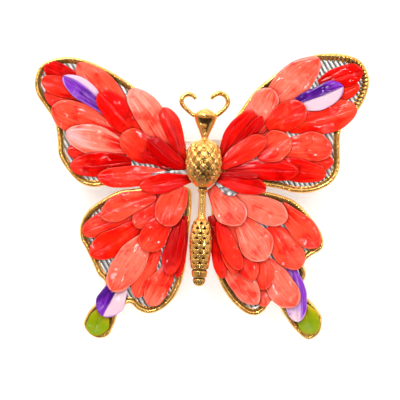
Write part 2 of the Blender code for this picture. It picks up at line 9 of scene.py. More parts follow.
import bpy
import numpy as np
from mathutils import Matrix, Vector


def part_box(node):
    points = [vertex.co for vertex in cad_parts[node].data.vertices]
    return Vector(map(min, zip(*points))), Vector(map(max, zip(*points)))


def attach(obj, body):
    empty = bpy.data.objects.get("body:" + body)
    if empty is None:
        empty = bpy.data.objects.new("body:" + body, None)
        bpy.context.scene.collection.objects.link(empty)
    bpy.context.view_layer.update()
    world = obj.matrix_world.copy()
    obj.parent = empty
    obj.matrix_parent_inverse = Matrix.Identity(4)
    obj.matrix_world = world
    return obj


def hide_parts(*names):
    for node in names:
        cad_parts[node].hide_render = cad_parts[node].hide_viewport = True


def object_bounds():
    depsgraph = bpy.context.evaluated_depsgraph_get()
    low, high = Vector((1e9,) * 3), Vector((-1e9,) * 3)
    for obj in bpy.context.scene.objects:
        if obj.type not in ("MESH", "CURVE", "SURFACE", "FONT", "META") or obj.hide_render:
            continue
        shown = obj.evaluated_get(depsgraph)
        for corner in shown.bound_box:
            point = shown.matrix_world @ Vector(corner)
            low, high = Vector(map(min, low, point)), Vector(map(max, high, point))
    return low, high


MM = 0.001

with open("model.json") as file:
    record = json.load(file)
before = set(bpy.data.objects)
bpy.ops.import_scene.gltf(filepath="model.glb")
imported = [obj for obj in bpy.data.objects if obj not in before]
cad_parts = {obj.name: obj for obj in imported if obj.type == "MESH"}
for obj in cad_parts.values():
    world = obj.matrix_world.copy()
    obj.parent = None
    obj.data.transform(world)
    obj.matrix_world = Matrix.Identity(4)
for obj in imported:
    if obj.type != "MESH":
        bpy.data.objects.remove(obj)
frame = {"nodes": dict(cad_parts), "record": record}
CAD_BOX = [list(corner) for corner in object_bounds()]
FRAME_BODY = "brooch"

# Outlines of the wings: (across, up), in drawn millimetres
WINGS = {
    "forewing_left": [
        (-13.3, 2.3), (-19.8, 2.2), (-23, 1.9), (-25.7, 2.8), (-28.3, 5.4), (-30.1, 8.5), (-30.4, 11.8),
        (-31, 15.5), (-32.9, 18.5), (-34.8, 21.4), (-35.2, 24.4), (-34, 27.3), (-31, 28.9), (-26.6, 29.1),
        (-21.5, 27.4), (-16.7, 24.7), (-11.9, 21.2), (-8.9, 18.1), (-5.8, 13.7), (-3.7, 9.9), (-2.3, 7.6),
        (-2.6, 5.5), (-7.9, 3.8),
    ],
    "hindwing_left": [
        (-13.3, 1.7), (-17.3, 1.2), (-20.9, -0.6), (-24, -2.9), (-25.6, -5.9), (-25.6, -8.8),
        (-24.3, -11.4), (-23, -14.1), (-21.9, -16.5), (-20.4, -18.3), (-21.9, -21.6), (-24, -24.4),
        (-24.9, -26.7), (-23.8, -28.8), (-21.7, -29.8), (-19.6, -29.1), (-18.4, -26.7), (-17.4, -24),
        (-15.3, -22.5), (-13.5, -23.9), (-11.1, -24.6), (-8.3, -23.6), (-5.6, -20.9), (-3.8, -16.2),
        (-3.1, -10.3), (-2.5, -5), (-2.2, -0.8), (-2.8, 1.7), (-6.8, 2.5),
    ],
    "forewing_right": [
        (3.5, 7.6), (3.9, 10.5), (5.4, 13.9), (8.1, 18.3), (11, 22.1), (14.4, 25), (18.6, 27.7),
        (23, 29.5), (27.4, 30), (31.2, 29.4), (33.7, 27.9), (35, 24.8), (34.6, 21.6), (32.9, 18.3),
        (29.9, 15.5), (28.9, 12.8), (28.9, 9.2), (28.7, 5.5), (27, 2.7), (23.4, 0.9), (19.6, 0.7),
        (16.3, 1.5), (12.7, 2.2), (7.9, 3.6), (3.7, 5),
    ],
    "hindwing_right": [
        (2.8, 1.9), (7.9, 1.8), (12.5, 1.1), (16.3, 0.3), (19.8, -1.3), (22.8, -4.5), (25.1, -8),
        (25.2, -10.9), (22.6, -12.7), (21.3, -14.1), (21.8, -16.4), (21.1, -18.5), (21.9, -21),
        (23.8, -23.2), (25.1, -25.6), (24.6, -28.6), (22.4, -30.1), (20.5, -29.1), (18.6, -27),
        (16.9, -24.6), (15.6, -22.4), (14.2, -22.2), (13.1, -23.9), (11.2, -25), (8.7, -24.3),
        (5.6, -21.4), (3.3, -17.4), (2.1, -13), (1.7, -8.4), (1.8, -4), (2, -0.4),
    ],
}

# Petals from the bottom of the stack to the top: (CAD node's number or None, pattern,
# shades from root to tip, base, tip, width), in drawn millimetres
PETALS = {
    "hindwing_left": [
        (1, "tail", "olive leaf leaf", (-20.3, -23.5), (-22.9, -28.9), 4.8),
        (2, "half_pale", "violet purple violet", (-16.5, -16.6), (-20.7, -25.0), 5.9),
        (None, "plain", "flame coral coral", (-9.3, -10.9), (-13.9, -21.2), 4.4),
        (3, "plain", "scarlet coral salmon", (-6.4, -13.9), (-11.4, -22.7), 5.0),
        (None, "plain", "scarlet scarlet coral", (-13.0, -3.6), (-25.0, -7.6), 5.2),
        (4, "plain", "flame flame flame", (-12.7, -5.5), (-23.4, -12.4), 5.8),
        (5, "plain", "salmon salmon coral", (-11.3, -8.2), (-18.9, -19.7), 6.8),
        (None, "plain", "scarlet scarlet coral", (-5.5, 0.8), (-14.2, -6.2), 5.8),
        (None, "plain", "deep red red", (-3.7, -4.0), (-5.3, -17.0), 2.6),
        (6, "streaked", "deep deep scarlet", (-4.3, -4.6), (-7.2, -16.4), 4.4),
        (7, "plain", "scarlet coral coral", (-9.8, 0.4), (-21.2, -4.2), 5.4),
        (8, "plain", "flame scarlet coral", (-6.8, -4.0), (-12.3, -11.2), 5.9),
        (9, "streaked", "coral coral scarlet", (-4.1, 2.2), (-8.3, -6.0), 6.5),
    ],
    "hindwing_right": [
        (1, "tail", "olive leaf leaf", (21.1, -22.7), (23.1, -28.7), 4.8),
        (2, "pale_middle", "violet lavender cream", (18.6, -14.7), (19.9, -26.2), 5.0),
        (None, "plain", "flame coral coral", (10.2, -13.0), (13.2, -23.0), 4.6),
        (3, "streaked", "coral salmon coral", (12.5, -13.0), (19.4, -22.9), 6.4),
        (None, "plain", "flame coral flame", (11.0, -11.3), (12.9, -19.5), 5.0),
        (4, "plain", "coral salmon salmon", (4.6, -12.4), (11.4, -22.5), 5.4),
        (None, "plain", "red scarlet coral", (7.2, -9.0), (10.6, -17.5), 4.6),
        (5, "plain", "scarlet coral coral", (14.2, -6.1), (20.3, -15.1), 6.3),
        (6, "plain", "flame coral flame", (16.3, -1.9), (24.3, -10.5), 5.4),
        (None, "plain", "scarlet coral coral", (3.2, -1.5), (8.8, -10.4), 5.2),
        (7, "streaked", "coral salmon salmon", (7.9, -4.6), (13.3, -13.2), 7.1),
        (8, "plain", "salmon salmon salmon", (6.4, 0.4), (17.7, -4.8), 5.9),
        (None, "plain", "deep red scarlet", (1.7, -4.0), (4.2, -17.2), 3.4),
        (None, "plain", "deep scarlet coral", (2.6, -6.1), (7.0, -16.2), 3.1),
        (9, "plain", "red scarlet scarlet", (3.4, -5.0), (7.9, -15.3), 3.8),
        (10, "streaked", "coral salmon coral", (1.8, 2.0), (8.4, -5.7), 6.3),
    ],
    "forewing_left": [
        (None, "plain", "deep scarlet scarlet", (-25.0, 19.0), (-32.8, 22.0), 4.8),
        (1, "plain", "red red red", (-24.0, 23.3), (-32.9, 27.1), 4.4),
        (None, "plain", "deep scarlet scarlet", (-24.7, 21.0), (-33.5, 24.4), 4.2),
        (2, "streaked", "red coral salmon", (-14.2, 16.0), (-26.1, 27.6), 6.1),
        (3, "streaked", "red coral coral", (-15.5, 12.2), (-31.4, 18.4), 7.3),
        (4, "pale_edge", "purple violet violet", (-19.4, 17.2), (-29.0, 25.0), 4.3),
        (None, "plain", "deep red scarlet", (-7.0, 11.5), (-14.0, 18.0), 5.6),
        (5, "plain", "scarlet red red", (-12.7, 11.8), (-21.5, 21.6), 6.0),
        (None, "plain", "deep red scarlet", (-16.5, 9.0), (-28.3, 9.6), 4.8),
        (6, "white_tip", "red salmon blush", (-14.8, 9.7), (-28.5, 13.2), 6.2),
        (7, "plain", "deep red scarlet", (-14.8, 7.2), (-27.6, 6.3), 5.2),
        (8, "plain", "coral scarlet red", (-7.4, 4.8), (-21.9, 4.0), 4.8),
        (9, "streaked", "red salmon blush", (-6.2, 8.2), (-14.9, 22.4), 6.2),
        (10, "plain", "deep scarlet coral", (-8.4, 7.4), (-16.9, 12.8), 6.3),
        (None, "plain", "deep red scarlet", (-4.1, 7.0), (-7.9, 18.6), 4.0),
        (None, "plain", "deep deep red", (-3.8, 6.2), (-12.4, 8.8), 3.2),
        (11, "plain", "deep deep deep", (-3.4, 5.6), (-11.2, 11.8), 4.0),
        (None, "foil", "cream cream cream", (-3.2, 5.2), (-10.4, 4.6), 1.3),
        (12, "plain", "red red scarlet", (-2.2, 3.7), (-13.1, 2.0), 4.0),
    ],
    "forewing_right": [
        (1, "streaked", "coral salmon coral", (11.0, 16.0), (24.4, 28.7), 7.0),
        (None, "plain", "red scarlet scarlet", (25.7, 19.9), (32.8, 23.3), 3.6),
        (2, "plain", "deep red red", (24.3, 23.4), (33.4, 26.1), 4.8),
        (3, "streaked", "flame scarlet coral", (17.8, 14.4), (32.2, 18.3), 6.9),
        (4, "half_pale_low", "purple purple violet", (19.0, 18.9), (29.4, 22.8), 5.3),
        (None, "plain", "red scarlet scarlet", (9.5, 10.5), (16.5, 16.5), 5.4),
        (5, "streaked", "red salmon salmon", (8.9, 11.8), (14.6, 22.3), 6.7),
        (6, "plain", "flame flame flame", (13.6, 13.9), (21.3, 18.9), 6.3),
        (None, "plain", "red scarlet scarlet", (14.0, 7.4), (27.4, 7.2), 5.4),
        (7, "plain", "scarlet coral scarlet", (16.0, 10.1), (27.2, 9.9), 6.4),
        (None, "plain", "red red scarlet", (12.5, 7.0), (25.9, 4.5), 5.0),
        (8, "plain", "deep red red", (4.8, 5.2), (20.0, 5.2), 5.0),
        (9, "plain", "red coral coral", (11.4, 8.2), (18.2, 12.2), 6.3),
        (10, "plain", "deep red red", (3.8, 7.4), (10.8, 17.6), 5.4),
        (None, "plain", "deep deep red", (4.6, 6.8), (12.5, 16.6), 3.0),
        (11, "streaked", "red scarlet scarlet", (3.8, 6.0), (13.3, 12.0), 4.6),
        (None, "foil", "cream cream cream", (2.6, 3.4), (7.0, 0.4), 2.8),
        (12, "plain", "red red red", (2.6, 4.0), (13.3, 1.4), 4.0),
        (None, "plain", "deep deep deep", (3.2, 4.6), (11.7, 4.2), 1.5),
    ],
}

# Petal colours, linear, each with the shades that streak it paler and darker
SHADES = {
    "deep": ((0.45, 0.0, 0.0), "red", "deep"),
    "red": ((0.7, 0.002, 0.001), "scarlet", "deep"),
    "flame": ((0.84, 0.012, 0.002), "coral", "red"),
    "scarlet": ((0.82, 0.02, 0.008), "coral", "red"),
    "coral": ((0.87, 0.062, 0.028), "salmon", "red"),
    "salmon": ((0.89, 0.14, 0.085), "blush", "scarlet"),
    "blush": ((0.88, 0.31, 0.24), "blush", "salmon"),
    "cream": ((0.72, 0.5, 0.56), "cream", "lavender"),
    "purple": ((0.05, 0.004, 0.16), "violet", "purple"),
    "violet": ((0.2, 0.025, 0.45), "lavender", "purple"),
    "lavender": ((0.6, 0.34, 0.8), "cream", "violet"),
    "leaf": ((0.2, 0.3, 0.002), "olive", "leaf"),
    "olive": ((0.46, 0.34, 0.004), "olive", "leaf"),
}
# Each pattern: how strong the streaks are, the pale second colour, and where across and along it lies
PATTERNS = {
    "plain": (0.45, None, None),
    "streaked": (0.75, None, None),
    "tail": (0.7, None, None),
    "white_tip": (0.9, "cream", None),
    "half_pale": (0.5, "cream", (0.47, 0.55)),
    "half_pale_low": (0.5, "cream", (0.55, 0.47)),
    "pale_edge": (0.6, "cream", (0.36, 0.2)),
    "pale_middle": (0.8, "violet", (0.66, 0.8)),
}

# Gold plating, how much of each channel is left where it is worn, and the brown of the painted shade and
# painted dark reflection that the mesh marks
GOLD = (1.0, 0.6, 0.17)
WORN = (0.8, 0.6, 0.4)
PAINTED_DARK_BROWN = (0.07, 0.028, 0.008)

# Petal form. ON_SLOPE allows for a tilted petal's thickness, and PETAL_CUP is a share of the width.
PETAL_THICKNESS = 0.16 * MM
ON_SLOPE = 1.1
PETAL_GAP = 0.03 * MM
PETAL_CUP = 0.09
TIP_LIFT = 0.4 * MM
RIPPLE = 0.06 * MM
UNEVEN = 0.07
BEND = 0.035
# How wide the root is, where along it the petal is widest, and how far its tip's rounding runs
ROOT_SHARE, WIDEST, TIP_ROUND = 0.4, 0.62, 0.385
# Lacquer: depth of the midline crease, of the veins and of the pooled coat, and how near another petal must
# be for painted shade
CREASE = 0.12 * MM
VEIN_DEPTH = 0.08 * MM
LACQUER_DEPTH = 0.3 * MM
PAINTED_SHADE_REACH = 1.1 * MM
# Grids: the relief's cells and margin, a petal's points, and the samples that it is fitted by
CELL = 0.15 * MM
GRID_MARGIN = 4 * MM
ALONG, ACROSS = 12, 9
SAMPLES_ALONG, SAMPLES_ACROSS = 84, 42
FAIR_PASSES, LIFT_PASSES = 8, 20

# Rim section: (inset from the outline, height), outside back round to inside back, in drawn millimetres
RIM_SECTION = [
    (0.2, -0.42), (0.03, -0.2), (0.0, 0.15), (0.06, 0.6), (0.22, 0.95), (0.46, 1.14), (0.7, 1.1),
    (0.9, 0.88), (1.08, 0.6), (1.28, 0.4), (1.42, 0.34), (1.42, 0.3), (1.15, -0.1), (1.1, -0.42),
]
# How strongly each point of the section is notched, and how much more at the right forewing's tip
BEADED = {5: (0.0, 0.4), 6: (0.05, 0.8), 7: (0.35, 0.8), 8: (0.6, 0.6), 9: (0.45, 0.5)}
# Where that tip starts, across and up, how far it takes to grow, and how much wider the rim is there
TIP_FROM, TIP_GROWTH, TIP_WIDENING = (24, 13), (5, 3), 0.35
# Steps of a curve between two of its points, points in a wing's first outline, and the rim's own step
CURVE_STEPS = 24
OUTLINE_POINTS = 400
RIM_STEP = 0.13 * MM
BEAD_PITCH = 0.95 * MM
BEAD_DEPTH = 0.22 * MM
# Share of painted shade in the rim's notches
BEAD_PAINTED_SHADE = 0.8
# Plates: pitch and slant of the ribs, and the height of the plate's face and of the rim's top
RIB_PITCH = 0.9 * MM
RIB_TURN = math.radians(30)
PLATE_HEIGHT = 0.35 * MM
RIM_HEIGHT = 1.15 * MM
RIM_WIDTH = 1.25 * MM

# Body: turned section (radius, up) in drawn millimetres, and how it sits
BODY_SECTION = [
    (0.0, 18.35), (1.15, 17.9), (2.05, 17.3), (2.45, 16.8), (2.4, 16.3), (2.05, 15.3), (1.6, 14.3),
    (1.15, 13.3), (0.8, 12.5), (0.72, 12.2), (1.0, 11.8), (1.9, 11.3), (2.85, 10.3), (3.35, 9.0),
    (3.55, 7.5), (3.5, 6.0), (3.1, 4.2), (2.4, 2.9), (1.7, 2.2), (1.15, 1.75), (1.05, 1.5), (1.2, 1.2),
    (0.9, 0.8), (0.78, 0.4), (0.75, -1.5), (0.8, -4.0), (1.0, -4.6), (1.7, -5.4), (2.1, -6.8),
    (2.35, -8.8), (2.3, -11.2), (2.1, -13.4), (1.85, -15.0), (1.6, -16.4), (1.35, -17.6),
    (0.85, -18.5), (0.0, -18.85),
]
BODY_ROWS, BODY_COLUMNS = 760, 192
BODY_AXIS_HEIGHT = 2.2 * MM
BODY_BACK = 1.2 * MM
BODY_DEPTH_SHARE = 0.88
BODY_LEAN = 0.04
# Turned grooves, and the column of beads on the head's facet
RINGS = [(-15.35, 0.3), (-17.1, 0.28), (1.65, 0.2)]  # (up, depth)
RING_WIDTH = 0.24
HEAD_BEADS = [(14.45, 0.5), (13.5, 0.42), (12.6, 0.34), (12.0, 0.3)]  # (up, radius)

# Strip behind the thorax: (up, share of its full section), and its form
KEEL_RINGS = [(3.4, 0.82), (3.8, 1.0), (9.9, 1.0), (10.2, 0.82)]
KEEL_CORNERS = 12
KEEL_HALF_DEPTH = 0.9 * MM
KEEL_HEIGHT = 0.6 * MM

# Antennae: (across, up) along each wire from head to curl, in drawn millimetres, and its radii there
ANTENNAE = {
    "antenna_left": [
        (-0.9, 16.6), (-1.9, 16.95), (-3.3, 18.1), (-4.25, 19.3), (-4.15, 20.5), (-3.1, 21.2),
        (-2.0, 20.95), (-1.35, 20.2),
    ],
    "antenna_right": [
        (2.2, 16.6), (3.2, 16.95), (4.6, 18.15), (5.3, 19.4), (4.95, 20.7), (3.7, 21.4), (2.5, 21.0),
        (1.8, 20.2),
    ],
}
ANTENNA_RADII = [0.5, 0.48, 0.46, 0.5, 0.54, 0.55, 0.5, 0.4]
ANTENNA_POINTS = 60

# Stage, in metres
CARD_GAP = 1.5 * MM
CARD_REACH = 0.6
FLOOR_DROP = 35 * MM
FLOOR_REACH = 1.2

# Studio: levels of grey from below to above, from the viewer's side to behind the brooch, and towards one
# dark spot below the viewer
UPWARD = [(0.0, 0.3), (0.4, 0.4), (0.5, 0.6), (0.6, 1.0), (0.75, 1.5), (1.0, 1.7)]
AHEAD = [(0.0, 0.22), (0.03, 0.3), (0.1, 0.8), (0.25, 1.4), (1.0, 1.4)]
DARK_SIDE = (0, -0.75, -0.66)
DARK_SPOT = [(0.0, 1.0), (0.9, 1.0), (0.96, 0.12), (1.0, 0.05)]
WORLD_STRENGTH = 0.62

# Area lights: place, size and watts. The small ones draw the glints on the lacquer.
LIGHTS = {
    "key": ((-0.1, -0.28, 0.3), (0.16, 0.1), 0.72),
    "glint_left": ((-0.13, -0.38, 0.16), (0.012, 0.06), 0.14),
    "glint_right": ((0.15, -0.38, 0.11), (0.012, 0.06), 0.12),
    "glint_top": ((-0.01, -0.4, 0.07), (0.05, 0.012), 0.1),
    "glint_side": ((0.22, -0.33, -0.05), (0.015, 0.07), 0.12),
    "glint_low": ((-0.02, -0.38, -0.16), (0.04, 0.01), 0.06),
}
# What the camera sees
VIEW_WIDTH = 84 * MM
VIEW_MIDDLE = (-0.5 * MM, -0.8 * MM)


# ---------------------------------------------------------------- materials


class Paint:
    """A Principled material under construction: each call adds a node and links what it is given."""

    def __init__(self, name, **inputs):
        self.material = bpy.data.materials.new(name)
        self.material.use_nodes = True
        self.tree = self.material.node_tree
        self.shader = self.tree.nodes["Principled BSDF"]
        self.set(**inputs)

    def put(self, socket, value):
        if isinstance(value, bpy.types.NodeSocket):
            self.tree.links.new(value, socket)
        elif hasattr(value, "__len__") and len(value) == 3 and socket.type == "RGBA":
            socket.default_value = (*value, 1)
        else:
            socket.default_value = value

    def set(self, **inputs):
        for name, value in inputs.items():
            self.put(self.shader.inputs[name.replace("_", " ")], value)

    def add(self, kind, inputs, output=0, **settings):
        node = self.tree.nodes.new(kind)
        for name, value in settings.items():
            setattr(node, name, value)
        for name, value in inputs.items():
            self.put(node.inputs[name], value)
        return node.outputs[output]

    def math(self, operation, a, b=0.0):
        return self.add("ShaderNodeMath", {0: a, 1: b}, operation=operation)

    def plus(self, a, b, share):
        """The first value and a share of the second."""
        return self.math("ADD", a, self.math("MULTIPLY", b, share))

    def between(self, value, low, high, to_low=0.0, to_high=1.0):
        """The value mapped from low..high to to_low..to_high, smoothly and clamped."""
        inputs = {0: value, 1: low, 2: high, 3: to_low, 4: to_high}
        return self.add("ShaderNodeMapRange", inputs, interpolation_type="SMOOTHSTEP")

    def mix(self, share, a, b, blend="MIX"):
        inputs = {0: share, 6: a, 7: b}
        return self.add("ShaderNodeMix", inputs, output=2, data_type="RGBA", blend_type=blend)

    def noise(self, vector, scale, detail=3.0, roughness=0.5):
        inputs = {"Vector": vector, "Scale": scale, "Detail": detail, "Roughness": roughness}
        return self.add("ShaderNodeTexNoise", inputs)

    def place(self):
        return self.add("ShaderNodeTexCoord", {}, output="Object")

    def scaled(self, vector, scale, turn=0.0):
        inputs = {"Vector": vector, "Scale": scale, "Rotation": (0, turn, 0)}
        return self.add("ShaderNodeMapping", inputs)

    def bump(self, height, distance, normal=None):
        inputs = {"Height": height, "Distance": distance}
        if normal is not None:
            inputs["Normal"] = normal
        return self.add("ShaderNodeBump", inputs)


class PetalPlace:
    """Where a point is on its petal, and the noises that the petal's colour and relief share."""

    def __init__(self, paint):
        self.uv = paint.add("ShaderNodeUVMap", {}, uv_map="petal")
        split = paint.tree.nodes.new("ShaderNodeSeparateXYZ")
        paint.tree.links.new(self.uv, split.inputs[0])
        self.along = split.outputs[0]
        self.across = paint.math("FRACT", split.outputs[1])
        self.off_centre = paint.math("ABSOLUTE", paint.math("SUBTRACT", self.across, 0.5))
        self.place = paint.place()
        self.fine = paint.noise(paint.scaled(self.uv, (1.6, 26, 1)), scale=1.0, detail=4, roughness=0.65)
        self.broad = paint.noise(paint.scaled(self.uv, (1.2, 6, 1)), scale=1.0, detail=3, roughness=0.6)
        self.drift = paint.plus(self.along, paint.math("SUBTRACT", self.broad, 0.5), 1.2)


def veined_colour(paint, on, names, streak_share, pale, dark):
    """Three shades from root to tip, then soft patches, then streaks along the petal."""
    root, middle, tip = (SHADES[name][0] for name in names)
    patches = paint.noise(on.place, scale=330, detail=3, roughness=0.6)
    streaks = paint.plus(paint.math("MULTIPLY", on.fine, 0.65), on.broad, 0.35)
    colour = paint.mix(paint.between(on.drift, 0.15, 0.5), root, middle)
    colour = paint.mix(paint.between(on.drift, 0.6, 0.95), colour, tip)
    colour = paint.mix(paint.between(patches, 0.56, 0.78, 0.0, 0.75), colour, pale)
    colour = paint.mix(paint.between(patches, 0.5, 0.3, 0.0, 0.9), colour, dark)
    colour = paint.mix(paint.between(streaks, 0.5, 0.64, 0.0, streak_share), colour, pale)
    return paint.mix(paint.between(streaks, 0.48, 0.36, 0.0, streak_share), colour, dark)


def second_colour(paint, on, colour, second, side):
    """A pale second colour along one side of the petal, or at its tip if no side is given."""
    if side:
        wander = paint.plus(on.across, paint.math("SUBTRACT", on.fine, 0.5), 0.25)
        lilac = paint.between(on.fine, 0.5, 0.68, 0.0, 0.5)
        streaky = paint.mix(lilac, SHADES[second][0], SHADES["lavender"][0])
        return paint.mix(paint.between(wander, *side), colour, streaky)
    if second:
        reach = paint.math("MULTIPLY", paint.between(on.drift, 0.6, 1.05), paint.between(on.fine, 0.42, 0.6))
        return paint.mix(reach, colour, SHADES[second][0])
    return colour


def painted_rim_and_shade(paint, on, colour, pale):
    """Painted rim highlight along the thin edge, and painted shade where another petal lies close above."""
    # Painted rim highlight: the thin edge and the tip are mixed towards the pale shade
    edge = paint.plus(on.off_centre, paint.math("POWER", on.along, 14.0), 0.45)
    colour = paint.mix(paint.between(edge, 0.44, 0.52, 0.0, 0.55), colour, pale)
    # Painted shade: the colour is darkened, more in green and blue than in red, where another petal lies
    # close above
    open_share = paint.add("ShaderNodeAmbientOcclusion", {"Distance": PAINTED_SHADE_REACH}, output="AO", samples=6)
    light = paint.between(open_share, 0.25, 0.95, 0.3, 1.0)
    painted_shade_deeper = paint.math("POWER", light, 1.8)
    shade = paint.add("ShaderNodeCombineColor", {0: light, 1: painted_shade_deeper, 2: painted_shade_deeper})
    return paint.mix(1.0, colour, shade, "MULTIPLY")


def petal_paint(pattern, shades):
    """Lacquer over a veined petal: streaks run along it, its thin edge carries a painted rim highlight, and
    painted shade lies where another petal is close above.
    """
    streak_share, second, side = PATTERNS[pattern]
    names = shades.split()
    _, pale_name, dark_name = SHADES[names[1]]
    pale = SHADES[pale_name][0]
    dark = SHADES[dark_name][0]
    paint = Paint("petal_" + "_".join([pattern, *names]), Roughness=0.5, Specular_IOR_Level=0.0)
    paint.set(Coat_Weight=1.0, Coat_Roughness=0.03, Coat_IOR=1.34)
    on = PetalPlace(paint)
    colour = veined_colour(paint, on, names, streak_share, pale, dark)
    colour = second_colour(paint, on, colour, second, side)
    # Painted rim highlight at the thin edge, and painted shade under close petals
    colour = painted_rim_and_shade(paint, on, colour, pale)

    fold = paint.math("SUBTRACT", paint.plus(on.off_centre, on.broad, 0.2), 0.08)
    creased = paint.bump(paint.between(paint.math("ABSOLUTE", fold), 0.0, 0.12), CREASE)
    veins = paint.bump(on.fine, VEIN_DEPTH, creased)
    strokes = paint.noise(paint.scaled(on.uv, (2.4, 4.2, 1)), scale=1.0, detail=1.5, roughness=0.4)
    pooled = paint.plus(paint.noise(on.place, scale=330, detail=1, roughness=0.4), strokes, 1.3)
    paint.set(Base_Color=colour, Normal=veins, Coat_Normal=paint.bump(pooled, LACQUER_DEPTH, creased))
    return paint.material


def gold_paint(name, tint, with_painted_dark):
    """Bright gold plating on a casting, with brown painted shade in hollows, and a painted dark reflection,
    where the mesh marks them.
    """
    paint = Paint(name, Metallic=0.82)
    place = paint.place()
    cloud = paint.noise(place, scale=700, detail=4, roughness=0.6)
    worn = tuple(level * share for level, share in zip(tint, WORN))
    colour = paint.mix(paint.between(cloud, 0.4, 0.7), tint, worn)
    roughness = paint.between(paint.noise(place, scale=1800, detail=3), 0.3, 0.7, 0.1, 0.24)
    if with_painted_dark:
        painted_dark = paint.add("ShaderNodeAttribute", {}, output="Fac", attribute_name="painted_dark")
        # Painted shade in hollows and a painted dark reflection: the colour goes brown where the mesh marks
        # it
        colour = paint.mix(painted_dark, colour, PAINTED_DARK_BROWN)
    cast = paint.bump(paint.noise(place, scale=900, detail=3, roughness=0.5), 0.08 * MM)
    paint.set(Base_Color=colour, Roughness=roughness, Normal=cast)
    return paint.material


def foil_paint():
    """Crumpled silver foil that shows between the petals near the body, with the crumples' light and shade
    painted in its colour.
    """
    paint = Paint("crumpled_foil", Metallic=0.4, Roughness=0.2)
    place = paint.place()
    crumple = paint.add("ShaderNodeTexVoronoi", {"Vector": place, "Scale": 1000.0})
    # Painted light and shade of the crumples: the colour follows the same cells as the bump, from near white
    # to dark grey
    colour = paint.mix(paint.between(crumple, 0.1, 0.7), (0.98, 0.95, 0.93), (0.2, 0.19, 0.19))
    paint.set(Base_Color=colour, Normal=paint.bump(crumple, 0.3 * MM))
    return paint.material


def silver_paint():
    """Bright plating with fine slanting ribs and painted shade between them."""
    paint = Paint("ribbed_silver", Metallic=0.7)
    place = paint.place()
    waves = paint.add(
        "ShaderNodeTexWave",
        {
            "Vector": paint.scaled(place, (1, 1, 1), RIB_TURN),
            "Scale": 2 * math.pi / (20 * RIB_PITCH),
            "Distortion": 0.8,
        },
        wave_type="BANDS",
        bands_direction="X",
        wave_profile="SIN",
    )
    ribs = paint.between(waves, 0.0, 1.0)
    cloud = paint.noise(place, scale=300, detail=4, roughness=0.6)
    # Painted shade: dark grey between the ribs, following the same waves as the rib bump
    colour = paint.mix(paint.between(waves, 0.1, 0.6), (0.12, 0.115, 0.11), (0.85, 0.84, 0.83))
    colour = paint.mix(paint.between(cloud, 0.45, 0.7, 0.0, 0.4), colour, (0.6, 0.57, 0.55))
    paint.set(
        Base_Color=colour,
        Roughness=paint.between(cloud, 0.3, 0.7, 0.2, 0.4),
        Normal=paint.bump(ribs, 0.08 * MM),
    )
    return paint.material


def nickel_paint():
    """Satin nickel plating with fine scratches along the pin."""
    paint = Paint("satin_nickel", Metallic=1.0)
    place = paint.place()
    scratches = paint.noise(paint.scaled(place, (60, 1800, 1800)), scale=1.0, detail=3, roughness=0.6)
    cloud = paint.noise(place, scale=500, detail=3)
    colour = paint.mix(paint.between(cloud, 0.35, 0.7), (0.66, 0.52, 0.41), (0.54, 0.41, 0.32))
    paint.set(
        Base_Color=colour,
        Roughness=paint.between(scratches, 0.3, 0.7, 0.22, 0.38),
        Normal=paint.bump(scratches, 0.01 * MM),
    )
    return paint.material


# ---------------------------------------------------------------- meshes and curves


def add_piece(name, data, material, body, slot, *nodes):
    piece = bpy.data.objects.new(name, data)
    bpy.context.scene.collection.objects.link(piece)
    data.materials.append(material)
    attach(piece, body)
    if nodes:
        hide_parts(*nodes)
    return piece


def grid_mesh(name, points, ring_along=False, ring_across=False):
    """A mesh of quads through a grid of points, joined into a ring in either direction."""
    rows, columns = points.shape[:2]
    index = np.arange(rows * columns).reshape(rows, columns)
    low = index if ring_along else index[:-1]
    high = np.roll(index, -1, 0) if ring_along else index[1:]
    if ring_across:
        corners = [low, np.roll(low, -1, 1), np.roll(high, -1, 1), high]
    else:
        corners = [low[:, :-1], low[:, 1:], high[:, 1:], high[:, :-1]]
    faces = np.stack(corners, axis=-1).reshape(-1, 4)
    mesh = bpy.data.meshes.new(name)
    mesh.from_pydata(points.reshape(-1, 3).tolist(), [], faces.tolist())
    mesh.shade_smooth()
    return mesh


def smooth_curve(points, count, closed):
    """A Catmull-Rom curve through the points, read at evenly spaced places."""
    points = np.array(points, float)
    fine = []
    spans = len(points) if closed else len(points) - 1
    for i in range(spans):
        if closed:
            before, start, end, after = (points[(i + k) % len(points)] for k in (-1, 0, 1, 2))
        else:
            before, start = points[max(i - 1, 0)], points[i]
            end, after = points[i + 1], points[min(i + 2, len(points) - 1)]
        for t in np.arange(0, 1, 1 / CURVE_STEPS):
            fine.append(
                start
                + (end - before) * (t / 2)
                + (before * 2 - start * 5 + end * 4 - after) * (t * t / 2)
                + (start * 3 - before - end * 3 + after) * (t**3 / 2)
            )
    fine.append(fine[0] if closed else points[-1])
    fine = np.array(fine)
    reached = np.concatenate([[0], np.cumsum(np.linalg.norm(np.diff(fine[:, :2], axis=0), axis=1))])
    wanted = np.linspace(0, reached[-1], count, endpoint=not closed)
    return np.stack([np.interp(wanted, reached, fine[:, k]) for k in range(fine.shape[1])], axis=1)


def length_of(outline):
    ends = np.vstack([outline, outline[:1]])
    return np.linalg.norm(np.diff(ends, axis=0), axis=1).sum()


def area_sign(outline):
    after = np.roll(outline, -1, 0)
    return np.sign((outline[:, 0] * after[:, 1] - after[:, 0] * outline[:, 1]).sum())


def inward(outline):
    """The unit normal into the closed outline, at each point."""
    along = np.roll(outline, -1, 0) - np.roll(outline, 1, 0)
    normal = np.stack([-along[:, 1], along[:, 0]], axis=1)
    normal /= np.linalg.norm(normal, axis=1, keepdims=True)
    return normal * area_sign(outline)


# ---------------------------------------------------------------- petals


